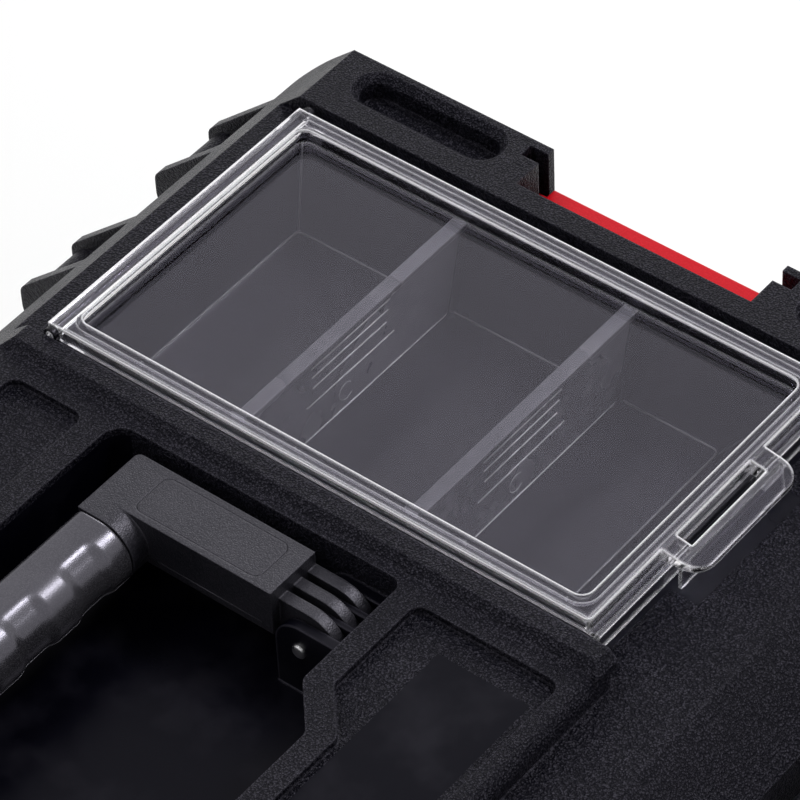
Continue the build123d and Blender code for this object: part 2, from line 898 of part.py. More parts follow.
def make_handle_frame():
    """Handle frame: two arms with hinge fingers, joined by a round core for the grip."""
    arm = block(
        arm_inner_x, handle_half_x, arm_end_y, handle_rear_y, handle_top_z - arm_thickness, handle_top_z
    )
    arm += bar_section(grip_half_x, handle_half_x)
    corner = arm.edges().filter_by(Axis.Z).sort_by(SortBy.DISTANCE, reverse=True)[0]
    arm = fillet(corner, handle_corner_radius)
    arm -= cap_plate(0, handle_top_z - cap_depth, handle_top_z)
    for finger in range(finger_count):
        x0 = finger_inner_x + finger * finger_pitch
        x1 = x0 + finger_width
        plate = rod_x(x0, x1, pivot_y, pivot_z, finger_radius)
        plate += block(
            x0, x1, pivot_y, arm_end_y, pivot_z - finger_radius / 2, pivot_z + finger_radius
        )
        arm += plate
    arm -= rod_x(finger_inner_x, handle_half_x, pivot_y, pivot_z, handle_pin_radius + running_clearance)
    frame = both_sides(arm)
    core_y = handle_rear_y - bar_depth + bar_height / 2
    core_z = handle_top_z - bar_height / 2
    frame += rod_x(-grip_half_x, grip_half_x, core_y, core_z, grip_core_radius)
    return frame


def make_grip():
    """Soft grip sleeve on the core of the handle."""
    core_y = handle_rear_y - bar_depth + bar_height / 2
    core_z = handle_top_z - bar_height / 2
    sleeve = bar_section(-grip_half_x, grip_half_x)
    return sleeve - rod_x(-grip_half_x, grip_half_x, core_y, core_z, grip_core_radius)


def make_handle_pin():
    """Steel pin through one handle bearing."""
    return rod_x(cheek_inner_x - handle_pin_proud, pocket_half_x, pivot_y, pivot_z, handle_pin_radius)


def make_latch():
    """Front latch: a plate on a barrel, with a nib that snaps past the tub's rim."""
    x0 = latch_x - latch_half_width
    x1 = latch_x + latch_half_width
    front_y = latch_axis_y - latch_barrel_radius
    lever = rod_x(x0, x1, latch_axis_y, latch_axis_z, latch_barrel_radius)
    lever += block(x0, x1, front_y, front_y + latch_plate_thickness, parting_z - latch_tail, latch_axis_z)
    nib_z = parting_z - rim_height - latch_nib_play
    lever += block(x0, x1, front_y, lid_front_y - latch_nib_gap, nib_z - latch_nib_height, nib_z)
    lever -= rod_x(x0, x1, latch_axis_y, latch_axis_z, latch_pin_radius + running_clearance)
    return lever


def make_latch_pin():
    """Steel pin of a front latch."""
    return latch_line(latch_pin_radius)


def make_clip():
    """Side clip: a plate under a flat head, with a lip that hooks the case above when it is turned up."""
    y0 = front_block_end_y + clip_end_gap
    y1 = block_end_y - clip_end_gap
    outer_x = clip_axis_x + clip_barrel_radius
    clip = rod_y(y0, y1, clip_axis_x, clip_axis_z, clip_barrel_radius)
    clip += block(outer_x - clip_plate_thickness, outer_x, y0, y1, clip_foot_z, clip_axis_z)
    clip += block(outer_x, case_half_length, y0, y1, clip_foot_z, clip_foot_z + clip_lip_height)
    clip += block(
        clip_axis_x - clip_barrel_radius, outer_x, y0, y1, clip_axis_z, clip_axis_z + clip_barrel_radius
    )
    window_half_length = clip_window_share * (y1 - y0) / 2
    window_z = (clip_foot_z + clip_lip_height + clip_axis_z - clip_barrel_radius) / 2
    clip -= block(
        outer_x - clip_plate_thickness,
        outer_x,
        lid_mid_y - window_half_length,
        lid_mid_y + window_half_length,
        window_z - clip_window_height / 2,
        window_z + clip_window_height / 2,
    )
    clip += rod_y(
        front_block_end_y - clip_trunnion_length,
        block_end_y + clip_trunnion_length,
        clip_axis_x,
        clip_axis_z,
        clip_trunnion_radius,
    )
    return clip


def make_pieces():
    """Every piece of the case by name."""
    pieces = {
        "base_tub": make_tub(),
        "lid_shell": make_lid(),
        "handle_frame": make_handle_frame(),
        "handle_grip": make_grip(),
    }
    rear, front = divider_places()
    right = {
        "hinge_rod": make_hinge_rod(),
        "organizer_tray": make_tray(),
        "organizer_cover": make_cover(),
        "divider_rear": make_divider(rear),
        "divider_front": make_divider(front),
        "handle_arm_cap": cap_plate(cap_gap, handle_top_z - cap_depth, handle_top_z),
        "handle_pin": make_handle_pin(),
        "latch_lever": make_latch(),
        "latch_pin": make_latch_pin(),
        "side_clip": make_clip(),
    }
    for place, (x, y) in zip(("rear", "front"), socket_places()):
        right[f"foot_{place}"] = make_foot(x, y)
    for name, solid in right.items():
        for hand, side in SIDES.items():
            pieces[f"{name}_{hand}"] = handed(solid, side)
    return pieces


os.makedirs("parts", exist_ok=True)
for name, solid in make_pieces().items():
    export_step(solid, f"parts/{name}.step")
    box = solid.bounding_box()
    print(f"{name}: {len(solid.solids())} solid, {box.size.X:.1f} x {box.size.Y:.1f} x {box.size.Z:.1f}")
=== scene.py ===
"""Stackable tool case with a folding handle and clear-covered parts organizers in its lid.

Metres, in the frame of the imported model: +Z up, +X along the case, -Y to the latches.
"""
import math

import bmesh
import bpy
from mathutils import Matrix, Vector


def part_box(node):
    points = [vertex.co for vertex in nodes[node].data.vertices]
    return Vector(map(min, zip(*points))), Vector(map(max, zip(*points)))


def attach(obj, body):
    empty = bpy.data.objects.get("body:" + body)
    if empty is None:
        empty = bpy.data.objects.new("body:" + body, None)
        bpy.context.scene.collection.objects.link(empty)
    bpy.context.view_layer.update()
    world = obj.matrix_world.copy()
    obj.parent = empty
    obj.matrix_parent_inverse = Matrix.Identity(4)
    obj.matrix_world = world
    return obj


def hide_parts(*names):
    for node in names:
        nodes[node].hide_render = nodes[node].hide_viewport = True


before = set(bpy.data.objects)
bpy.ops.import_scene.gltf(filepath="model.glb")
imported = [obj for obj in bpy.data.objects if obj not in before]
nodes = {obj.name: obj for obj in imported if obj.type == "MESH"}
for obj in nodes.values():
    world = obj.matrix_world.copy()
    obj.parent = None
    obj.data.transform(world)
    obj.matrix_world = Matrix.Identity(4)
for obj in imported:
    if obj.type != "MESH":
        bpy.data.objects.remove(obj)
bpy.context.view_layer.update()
hands = {"right": 1, "left": -1}

# Tub and lid shell: thick injection-moulded black plastic with a fine leather grain.
# The handle's pocket, the bare label place and the bays of the trays are polished: no grain there.
# Upright ribs stiffen the walls of the tub, and all edges are rounded and painted lighter, partly as
# rubbed wear and partly as a painted highlight.
shell_dark = (0.001, 0.001, 0.003, 1)
shell_light = (0.06, 0.057, 0.074, 1)
shine_tint = (0.88, 0.85, 1, 1)
shell_grain = 0.0007
shell_grain_depth = 0.0005
shell_edge = 0.0012
noise_spread = (0.3, 0.7)
# Over this range of grain height the crests are painted lighter and the hollows darker: a painted shade in
# the grain.
crest_spread = (-0.1, 0.45)
cloud_share = 0.06
# Share by which edges are painted lighter: partly rubbed wear, partly a painted highlight on the rounded
# edges.
edge_rub_and_highlight_share = 0.45
dark_until = 0.3
flat_cosine = 0.985
weld_gap = 0.00001
pocket_reach = ((0, 0.1002), (-0.0446, 0.0751), (0.178, 0.2152))
label_reach = ((0, 0.0868), (-0.0865, -0.0545), (0.21, 0.2157))
bay_reach = ((0.1135, 0.2376), (-0.0885, 0.1178), (0.178, 0.2225))
tab_reach = ((0.149, 0.2), (-0.0985, -0.08), (0.178, 0.2225))
tub_step = 0.003
tub_middle_y = -0.00375
rib_pitch = 0.024
rib_half_width = 0.0035
rib_draft = 0.0012
rib_rise = 0.0022
rib_root = 0.0005
rib_foot = 0.016
rib_head = 0.112
rib_end_gap = 0.022


def link(tree, source, target):
    tree.links.new(source, target)


def math_node(tree, operation, *values):
    """A sum node fed with sockets and plain numbers; gives its output."""
    node = tree.nodes.new("ShaderNodeMath")
    node.operation = operation
    for socket, value in zip(node.inputs, values):
        if isinstance(value, (int, float)):
            socket.default_value = value
        else:
            link(tree, value, socket)
    return node.outputs["Value"]


def range_node(tree, value, start, end):
    """Maps a value from the range start to the range end, and holds it there."""
    node = tree.nodes.new("ShaderNodeMapRange")
    node.inputs["From Min"].default_value = start[0]
    node.inputs["From Max"].default_value = start[1]
    node.inputs["To Min"].default_value = end[0]
    node.inputs["To Max"].default_value = end[1]
    link(tree, value, node.inputs["Value"])
    return node.outputs["Result"]


def edge_share(tree, radius, turned=0.8):
    """The normal of edges rounded by radius, and a share: 0 on flats, 1 where its cosine is turned."""
    rounding = tree.nodes.new("ShaderNodeBevel")
    rounding.samples = 4
    rounding.inputs["Radius"].default_value = radius
    surface = tree.nodes.new("ShaderNodeNewGeometry")
    compare = tree.nodes.new("ShaderNodeVectorMath")
    compare.operation = "DOT_PRODUCT"
    link(tree, rounding.outputs["Normal"], compare.inputs[0])
    link(tree, surface.outputs["Normal"], compare.inputs[1])
    share = range_node(tree, compare.outputs["Value"], (flat_cosine, turned), (0, 1))
    return rounding.outputs["Normal"], share


def moulded_plastic(name, dark, light, grain, depth, matt, shine, edge, shade_relief=0.3, patch=0.02):
    """Moulded plastic with pebbles of size grain and height depth; crests are painted lighter than hollows
    by the given share, a painted shade in the grain.
    """
    material = bpy.data.materials.new(name)
    material.use_nodes = True
    tree = material.node_tree
    shader = tree.nodes["Principled BSDF"]
    shader.inputs["Specular IOR Level"].default_value = shine
    shader.inputs["Specular Tint"].default_value = shine_tint
    place = tree.nodes.new("ShaderNodeTexCoord")
    pebbles = tree.nodes.new("ShaderNodeTexVoronoi")
    pebbles.feature = "SMOOTH_F1"
    pebbles.inputs["Scale"].default_value = 1 / grain
    pebbles.inputs["Smoothness"].default_value = 0.5
    fibres = tree.nodes.new("ShaderNodeTexNoise")
    fibres.inputs["Scale"].default_value = 0.7 / grain
    fibres.inputs["Detail"].default_value = 3
    fibres.inputs["Roughness"].default_value = 0.6
    fibres.inputs["Distortion"].default_value = 1.5
    patches = tree.nodes.new("ShaderNodeTexNoise")
    patches.inputs["Scale"].default_value = 1 / patch
    patches.inputs["Detail"].default_value = 5
    for texture in (pebbles, fibres, patches):
        link(tree, place.outputs["Object"], texture.inputs["Vector"])
    skin = tree.nodes.new("ShaderNodeMath")
    skin.name = "skin"
    skin.operation = "SUBTRACT"
    link(tree, fibres.outputs["Fac"], skin.inputs[0])
    link(tree, pebbles.outputs["Distance"], skin.inputs[1])
    kept = tree.nodes.new("ShaderNodeMath")
    kept.name = "kept"
    kept.operation = "MULTIPLY"
    kept.inputs[1].default_value = 1
    link(tree, skin.outputs["Value"], kept.inputs[0])
    rounded, worn_and_lit = edge_share(tree, edge)
    bump = tree.nodes.new("ShaderNodeBump")
    bump.inputs["Distance"].default_value = depth
    link(tree, kept.outputs["Value"], bump.inputs["Height"])
    link(tree, rounded, bump.inputs["Normal"])
    # Crests of the grain are painted lighter and hollows darker: painted shade in the grain's hollows.
    crest_and_hollow_shade = range_node(tree, kept.outputs["Value"], crest_spread, (0.5 - shade_relief / 2, 0.5 + shade_relief / 2))
    cloud = range_node(tree, patches.outputs["Fac"], noise_spread, (-cloud_share, cloud_share))
    # Edges are painted lighter by the edge share: partly rubbed wear, partly a painted highlight on the
    # rounded edges.
    rub_and_highlight = math_node(tree, "MULTIPLY", worn_and_lit, edge_rub_and_highlight_share)
    tone = math_node(tree, "ADD", math_node(tree, "ADD", crest_and_hollow_shade, cloud), rub_and_highlight)
    tint = tree.nodes.new("ShaderNodeValToRGB")
    tint.color_ramp.elements[0].position = dark_until
    tint.color_ramp.elements[0].color = dark
    tint.color_ramp.elements[1].position = 1
    tint.color_ramp.elements[1].color = light
    link(tree, tone, tint.inputs["Fac"])
    link(tree, tint.outputs["Color"], shader.inputs["Base Color"])
    link(tree, range_node(tree, patches.outputs["Fac"], noise_spread, matt), shader.inputs["Roughness"])
    link(tree, bump.outputs["Normal"], shader.inputs["Normal"])
    return material


def polish(material, *reaches):
    """Takes the grain off inside boxes, each a range of distance from the middle, of y and of z."""
    tree = material.node_tree
    place = tree.nodes.new("ShaderNodeTexCoord")
    parts = tree.nodes.new("ShaderNodeSeparateXYZ")
    link(tree, place.outputs["Object"], parts.inputs["Vector"])
    aside = math_node(tree, "ABSOLUTE", parts.outputs["X"])
    grained = None
    for reach in reaches:
        outside = None
        for value, limits in zip((aside, parts.outputs["Y"], parts.outputs["Z"]), reach):
            for limit, operation in zip(limits, ("LESS_THAN", "GREATER_THAN")):
                test = math_node(tree, operation, value, limit)
                outside = test if outside is None else math_node(tree, "MAXIMUM", outside, test)
        grained = outside if grained is None else math_node(tree, "MINIMUM", grained, outside)
    link(tree, grained, tree.nodes["kept"].inputs[1])


def dress(piece, material):
    piece.data.materials.clear()
    piece.data.materials.append(material)


def round_edges(piece, width, segments=2):
    """Rounds the sharp edges of a simple piece as its mould does."""
    weld = piece.modifiers.new("weld", "WELD")
    weld.merge_threshold = weld_gap
    flat = piece.modifiers.new("flat", "DECIMATE")
    flat.decimate_type = "DISSOLVE"
    flat.angle_limit = math.radians(0.5)
    rounding = piece.modifiers.new("rounding", "BEVEL")
    rounding.width = width
    rounding.segments = segments
    rounding.limit_method = "ANGLE"
    rounding.angle_limit = math.radians(32)
    rounding.use_clamp_overlap = False


def new_piece(name, builder, smooth=True):
    """A piece from a bmesh, in place in the frame."""
    bmesh.ops.recalc_face_normals(builder, faces=builder.faces)
    mesh = bpy.data.meshes.new(name)
    builder.to_mesh(mesh)
    builder.free()
    piece = bpy.data.objects.new(name, mesh)
    bpy.context.scene.collection.objects.link(piece)
    for face in mesh.polygons:
        face.use_smooth = smooth
    return piece


def upright_rib(builder, foot, out):
    """A tapered rib on a wall: foot is the middle of its lower end, out points from the wall."""
    across = Vector((-out.y, out.x, 0))
    tall = rib_head - rib_foot
    rings = []
    for reach, narrow in ((-rib_root, 0), (rib_rise, rib_draft)):
        ring = []
        for side, end in ((-1, 0), (1, 0), (1, 1), (-1, 1)):
            level = end * tall + narrow * (1 - 2 * end)
            aside = side * (rib_half_width - narrow)
            ring.append(builder.verts.new(foot + reach * out + aside * across + Vector((0, 0, level))))
        rings.append(ring)
    root, crest_and_hollow_shade = rings
    for k in range(4):
        builder.faces.new((root[k], root[(k + 1) % 4], crest_and_hollow_shade[(k + 1) % 4], crest_and_hollow_shade[k]))
    builder.faces.new(crest_and_hollow_shade)
    builder.faces.new(list(reversed(root)))


shell_plastic = moulded_plastic(
    "shell_plastic",
    dark=shell_dark,
    light=shell_light,
    grain=shell_grain,
    depth=shell_grain_depth,
    matt=(0.26, 0.36),
    shine=0.1,
    edge=shell_edge,
    shade_relief=0.62,
)
polish(shell_plastic, pocket_reach, label_reach, bay_reach, tab_reach)
for name in ("base_tub", "lid_shell"):
    dress(nodes[name], shell_plastic)
tub_low, tub_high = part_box("base_tub")
half_x = tub_high.x - tub_step
half_y = tub_middle_y - tub_low.y - tub_step
builder = bmesh.new()
for turn in range(4):
    out = Vector((0, -1, 0)) if turn % 2 == 0 else Vector((1, 0, 0))
    out *= 1 if turn < 2 else -1
    reach, span = (half_y, half_x) if turn % 2 == 0 else (half_x, half_y)
    across = Vector((-out.y, out.x, 0))
    count = int((span - rib_end_gap) / rib_pitch)
    for step in range(-count, count + 1):
        foot = Vector((0, tub_middle_y, rib_foot)) + reach * out + step * rib_pitch * across
        upright_rib(builder, foot, out)
tub_ribs = new_piece("tub_ribs", builder, False)
dress(tub_ribs, shell_plastic)
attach(tub_ribs, "base")

# Organizer trays: smooth black mouldings with sloped walls that drop into the bays of the lid.
# Their floor edges are rounded, so parts can be swept up with a finger.
# A fine light bead runs round the floor and up the corners: a painted highlight on the rounded floor
# edges.
floor_near = (0.128, -0.0554, 0.183)
floor_far = (0.2217, 0.1084, 0.183)
mouth_near = (0.1196, -0.0814, 0.2145)
mouth_far = (0.2301, 0.1114, 0.2145)
floor_bead_inset = 0.00085
floor_bead_radius = 0.0004
floor_corner_radius = 0.0022


def bead(builder, points, radius, sides=8):
    """A round bead along a row of points; a row that ends where it starts is joined up."""
    joined = points[0] == points[-1]
    if joined:
        points = points[:-1]
    last = len(points) - 1
    rings = []
    for i, point in enumerate(points):
        before = points[i - 1] if joined else points[max(i - 1, 0)]
        after = points[(i + 1) % len(points)] if joined else points[min(i + 1, last)]
        ahead = (Vector(after) - Vector(before)).normalized()
        aside = ahead.cross(Vector((0, 0, 1)))
        if aside.length < 0.001:
            aside = Vector((1, 0, 0))
        aside.normalize()
        above = aside.cross(ahead)
        ring = []
        for k in range(sides):
            turn = 2 * math.pi * k / sides
            out = math.cos(turn) * aside + math.sin(turn) * above
            ring.append(builder.verts.new(Vector(point) + radius * out))
        rings.append(ring)
    neighbours = list(zip(rings, rings[1:]))
    if joined:
        neighbours.append((rings[-1], rings[0]))
    else:
        builder.faces.new(list(reversed(rings[0])))
        builder.faces.new(rings[-1])
    for low, high in neighbours:
        for k in range(sides):
            builder.faces.new((low[k], low[(k + 1) % sides], high[(k + 1) % sides], high[k]))


def round_loop(low, high, level, radius):
    """Points of a level rectangle with round corners, back to its start."""
    points = []
    corners = ((high[0], high[1], 0), (low[0], high[1], 90), (low[0], low[1], 180), (high[0], low[1], 270))
    for x, y, first in corners:
        inner_x = x - radius if x == high[0] else x + radius
        inner_y = y - radius if y == high[1] else y + radius
        for step in range(7):
            turn = math.radians(first + 15 * step)
            points.append((inner_x + radius * math.cos(turn), inner_y + radius * math.sin(turn), level))
    return points + points[:1]


tray_plastic = moulded_plastic(
    "tray_plastic",
    dark=(0.001, 0.001, 0.0016, 1),
    light=(0.012, 0.0115, 0.015, 1),
    grain=0.006,
    depth=0.00003,
    matt=(0.2, 0.26),
    shine=0.22,
    edge=0.0012,
)
# Lighter plastic for the floor bead: a painted highlight.
floor_highlight_plastic = moulded_plastic(
    "floor_highlight_plastic",
    dark=(0.05, 0.05, 0.053, 1),
    light=(0.08, 0.08, 0.084, 1),
    grain=0.006,
    depth=0.00003,
    matt=(0.2, 0.26),
    shine=0.3,
    edge=0.0002,
)
for hand, side in hands.items():
    dress(nodes[f"organizer_tray_{hand}"], tray_plastic)
    builder = bmesh.new()
    low = [v + floor_bead_inset for v in floor_near]
    high = [v - floor_bead_inset for v in floor_far]
    loop = [(side * x, y, z) for x, y, z in round_loop(low, high, low[2], floor_corner_radius)]
    bead(builder, loop, floor_bead_radius)
    for far_x in (False, True):
        for far_y in (False, True):
            ends = []
            for near, far in ((floor_near, floor_far), (mouth_near, mouth_far)):
                x = far[0] - floor_bead_inset if far_x else near[0] + floor_bead_inset
                y = far[1] - floor_bead_inset if far_y else near[1] + floor_bead_inset
                ends.append((side * x, y, near[2]))
            bead(builder, ends, floor_bead_radius)
    tray_highlight_bead = new_piece(f"tray_highlight_bead_{hand}", builder)
    dress(tray_highlight_bead, floor_highlight_plastic)
    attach(tray_highlight_bead, "lid")

# Dividers: smoky plastic plates that lift out of guides in the tray walls.
# Each has four moulded lines on its front face, the lowest one longer, an ejector mark and a foot line,
# all in a lighter plastic: a painted highlight along them.
divider_face_drop = 0.001
divider_lines = (
    (0.1555, 0.193, 0.2104),
    (0.1555, 0.1918, 0.2068),
    (0.1557, 0.1906, 0.2024),
    (0.1523, 0.194, 0.1963),
)
divider_line_radius = 0.0003
mark_x = 0.1705
mark_z = 0.1895
mark_radius = 0.0032
mark_steps = 15
mark_first = 40
mark_turn = 20
divider_plastic = moulded_plastic(
    "divider_plastic",
    dark=(0.018, 0.0175, 0.021, 1),
    light=(0.085, 0.083, 0.092, 1),
    grain=0.006,
    depth=0.00003,
    matt=(0.22, 0.3),
    shine=0.4,
    edge=0.0008,
    shade_relief=0.15,
    patch=0.06,
)
# Lighter plastic for the lines, mark and foot line: a painted highlight.
line_highlight_plastic = moulded_plastic(
    "line_highlight_plastic",
    dark=(0.2, 0.2, 0.205, 1),
    light=(0.26, 0.26, 0.265, 1),
    grain=0.006,
    depth=0.00003,
    matt=(0.2, 0.3),
    shine=0.5,
    edge=0.0002,
)
for hand, side in hands.items():
    for place in ("rear", "front"):
        plate = nodes[f"divider_{place}_{hand}"]
        dress(plate, divider_plastic)
        low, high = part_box(f"divider_{place}_{hand}")
        face_y = (low.y + high.y) / 2 - divider_face_drop
        builder = bmesh.new()
        for start_x, end_x, level in divider_lines:
            ends = [(side * start_x, face_y, level), (side * end_x, face_y, level)]
            bead(builder, ends, divider_line_radius)
        ring = []
        for step in range(mark_steps):
            turn = math.radians(mark_first + mark_turn * step)
            x = side * mark_x + mark_radius * math.cos(turn)
            ring.append((x, face_y, mark_z + mark_radius * math.sin(turn)))
        bead(builder, ring, divider_line_radius / 2, 6)
        foot_z = floor_near[2] + divider_line_radius
        foot = [(side * x, face_y, foot_z) for x in (floor_near[0], floor_far[0])]
        bead(builder, foot, divider_line_radius)
        lines = new_piece(f"divider_lines_{place}_{hand}", builder)
        dress(lines, line_highlight_plastic)
        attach(lines, "lid")

# Organizer covers: clear polycarbonate in one piece, polished, with a raised rim round a sunken pane.
# A barrel at the rear is the hinge, and a tab at the front snaps over the edge of the tray.
cover_edge = 0.0014
cover_edge_turned = 0.92
cover_edge_clear = 0.05
cover_lower_share = 0.12
cover_haze = (0.003, 0.01)
cover_upper = (0.2208, 0.2216)
cover_clear = bpy.data.materials.new("cover_clear")
cover_clear.use_nodes = True
tree = cover_clear.node_tree
shader = tree.nodes["Principled BSDF"]
# The near-white base colour shows only on the milky edges, which are a painted highlight.
shader.inputs["Base Color"].default_value = (0.98, 0.97, 1, 1)
shader.inputs["IOR"].default_value = 1.42
shader.inputs["Specular Tint"].default_value = (0.84, 0.8, 1, 1)
place = tree.nodes.new("ShaderNodeTexCoord")
haze = tree.nodes.new("ShaderNodeTexNoise")
haze.inputs["Scale"].default_value = 60
haze.inputs["Detail"].default_value = 6
link(tree, place.outputs["Object"], haze.inputs["Vector"])
link(tree, range_node(tree, haze.outputs["Fac"], (0.4, 0.8), cover_haze), shader.inputs["Roughness"])
# Where the edges turn, the clear plastic is made milky white, more on the upper edges than the lower: a
# painted highlight along the edges of the cover.
_, painted_edge_highlight = edge_share(tree, cover_edge, cover_edge_turned)
parts = tree.nodes.new("ShaderNodeSeparateXYZ")
link(tree, place.outputs["Object"], parts.inputs["Vector"])
upper_edge_share = range_node(tree, parts.outputs["Z"], cover_upper, (cover_lower_share, 1))
painted_edge_highlight = math_node(tree, "MULTIPLY", painted_edge_highlight, upper_edge_share)
link(tree, range_node(tree, painted_edge_highlight, (0, 1), (1, cover_edge_clear)), shader.inputs["Transmission Weight"])
passing = tree.nodes.new("ShaderNodeBsdfTransparent")
passing.inputs["Color"].default_value = (0.9, 0.91, 0.93, 1)
ray = tree.nodes.new("ShaderNodeLightPath")
choice = tree.nodes.new("ShaderNodeMixShader")
link(tree, ray.outputs["Is Shadow Ray"], choice.inputs["Fac"])
link(tree, shader.outputs["BSDF"], choice.inputs[1])
link(tree, passing.outputs["BSDF"], choice.inputs[2])
link(tree, choice.outputs["Shader"], tree.nodes["Material Output"].inputs["Surface"])
for hand in hands:
    dress(nodes[f"organizer_cover_{hand}"], cover_clear)

# Handle frame and arm caps: satin moulded plastic with fine spark-eroded grain.
# The caps are inlays that cover the ribs of the arms; a mould seam runs along the inner side of each arm.
handle_plastic = moulded_plastic(
    "handle_plastic",
    dark=(0.004, 0.004, 0.006, 1),
    light=(0.05, 0.048, 0.058, 1),
    grain=0.0005,
    depth=0.00008,
    matt=(0.3, 0.4),
    shine=0.45,
    edge=0.0009,
)
for name in ("handle_frame", "handle_arm_cap_right", "handle_arm_cap_left"):
    dress(nodes[name], handle_plastic)
seam_x = 0.076
seam_ends_y = (0.001, 0.0445)
seam_level = 0.2016
seam_radius = 0.00022
seam_sides = 6
builder = bmesh.new()
for side in hands.values():
    bead(builder, [(side * seam_x, y, seam_level) for y in seam_ends_y], seam_radius, seam_sides)
arm_seam = new_piece("arm_seam", builder)
dress(arm_seam, handle_plastic)
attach(arm_seam, "handle")

# Grip: a soft rubber sleeve moulded over the core of the handle, flat behind and round to the fingers.
# Its front swells between the fingers, and a mould seam runs along its underside.
grip_low, grip_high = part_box("handle_grip")
grip_half = grip_high.x
grip_radius = (grip_high.z - grip_low.z) / 2
grip_centre_y = grip_low.y + grip_radius
grip_centre_z = grip_low.z + grip_radius
grip_back_round = 0.003
swell_pitch = 0.0245
swell_depth = 0.0011
swell_edge = 0.0045
swell_start = 0.0625
grip_end_round = 0.0009
front_steps = 40
corner_steps = 8
length_steps = 360
seam_turn = math.radians(213)


def smooth_step(low, high, value):
    share = min(max((value - low) / (high - low), 0), 1)
    return share * share * (3 - 2 * share)


def swell_at(x):
    """How far the sleeve is sunk at x: 0 on a swell, 1 in a finger hollow."""
    along = (swell_start - abs(x)) % swell_pitch
    half = swell_pitch / 2
    return smooth_step(0, swell_edge, along) - smooth_step(half, half + swell_edge, along)


def grip_section():
    """Points of the sleeve's section as (y, z, outward y, outward z, how much it swells)."""
    points = []
    for step in range(front_steps + 1):
        degrees = 90 + 180 * step / front_steps
        turn = math.radians(degrees)
        weight = smooth_step(95, 125, degrees) * (1 - smooth_step(240, 268, degrees))
        points.append(
            (
                grip_centre_y + grip_radius * math.cos(turn),
                grip_centre_z + grip_radius * math.sin(turn),
                math.cos(turn),
                math.sin(turn),
                weight,
            )
        )
    for centre_z, first in ((grip_low.z + grip_back_round, 270), (grip_high.z - grip_back_round, 0)):
        for step in range(corner_steps + 1):
            turn = math.radians(first + 90 * step / corner_steps)
            points.append(
                (
                    grip_high.y - grip_back_round + grip_back_round * math.cos(turn),
                    centre_z + grip_back_round * math.sin(turn),
                    math.cos(turn),
                    math.sin(turn),
                    0,
                )
            )
    return points


builder = bmesh.new()
rows = []
section = grip_section()
for step in range(length_steps + 1):
    x = -grip_half + 2 * grip_half * step / length_steps
    end = 1 - smooth_step(0, grip_end_round, grip_half - abs(x))
    sunk = swell_at(x)
    row = []
    for y, z, out_y, out_z, weight in section:
        inward = swell_depth * sunk * weight + end * grip_end_round
        row.append(builder.verts.new((x, y - out_y * inward, z - out_z * inward)))
    rows.append(row)
count = len(section)
for low_row, high_row in zip(rows, rows[1:]):
    for k in range(count):
        builder.faces.new((low_row[k], high_row[k], high_row[(k + 1) % count], low_row[(k + 1) % count]))
builder.faces.new(rows[0])
builder.faces.new(list(reversed(rows[-1])))
grip = new_piece("grip_sleeve", builder)
grip_rubber = moulded_plastic(
    "grip_rubber",
    dark=(0.014, 0.0135, 0.0165, 1),
    light=(0.085, 0.082, 0.094, 1),
    grain=0.0004,
    depth=0.000015,
    matt=(0.2, 0.3),
    shine=0.9,
    edge=0.0005,
)
dress(grip, grip_rubber)
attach(grip, "handle")
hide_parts("handle_grip")
builder = bmesh.new()
seam = []
for step in range(0, length_steps + 1, 2):
    x = -grip_half + 2 * grip_half * step / length_steps
    reach = grip_radius - swell_depth * swell_at(x)
    seam_y = grip_centre_y + reach * math.cos(seam_turn)
    seam_z = grip_centre_z + reach * math.sin(seam_turn)
    seam.append((x, seam_y, seam_z))
bead(builder, seam, seam_radius, seam_sides)
grip_seam = new_piece("grip_seam", builder)
dress(grip_seam, grip_rubber)
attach(grip_seam, "handle")

# Side clips: red moulded plastic, on trunnions that drop into slots in the corner blocks.
# Turned up, the lip at the foot of each holds the case that is stacked on top.
clip_plastic = moulded_plastic(
    "clip_plastic",
    dark=(0.52, 0.004, 0.011, 1),
    light=(0.68, 0.009, 0.02, 1),
    grain=0.0006,
    depth=0.00004,
    matt=(0.36, 0.48),
    shine=0.1,
    edge=0.0006,
)
clip_edge_round = 0.0005
for hand in hands:
    dress(nodes[f"side_clip_{hand}"], clip_plastic)
    round_edges(nodes[f"side_clip_{hand}"], clip_edge_round)

# Front latches: black moulded levers that hook under the rim of the tub.
# Each swings on a steel pin in the lugs of the lid, and has grooves across the end where a thumb lifts it.
groove_count = 5
groove_height = 0.0022
groove_pitch = 0.0046
groove_depth = 0.0012
groove_half_length = 0.029
groove_foot = 0.006


def carved(name, body, cuts):
    """A copy of a node with boxes cut out of it, which takes the node's place."""
    builder = bmesh.new()
    for low, high in cuts:
        corners = bmesh.ops.create_cube(builder, size=1)["verts"]
        bmesh.ops.scale(builder, vec=high - low, verts=corners)
        bmesh.ops.translate(builder, vec=(low + high) / 2, verts=corners)
    cutter = new_piece(f"{name}_cuts", builder, False)
    piece = bpy.data.objects.new(f"{name}_grooved", nodes[name].data.copy())
    bpy.context.scene.collection.objects.link(piece)
    weld = piece.modifiers.new("weld", "WELD")
    weld.merge_threshold = weld_gap
    cut = piece.modifiers.new("cut", "BOOLEAN")
    cut.operation = "DIFFERENCE"
    cut.object = cutter
    done = piece.evaluated_get(bpy.context.evaluated_depsgraph_get())
    mesh = bpy.data.meshes.new_from_object(done)
    piece.modifiers.clear()
    piece.data = mesh
    bpy.data.objects.remove(cutter)
    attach(piece, body)
    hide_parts(name)
    return piece


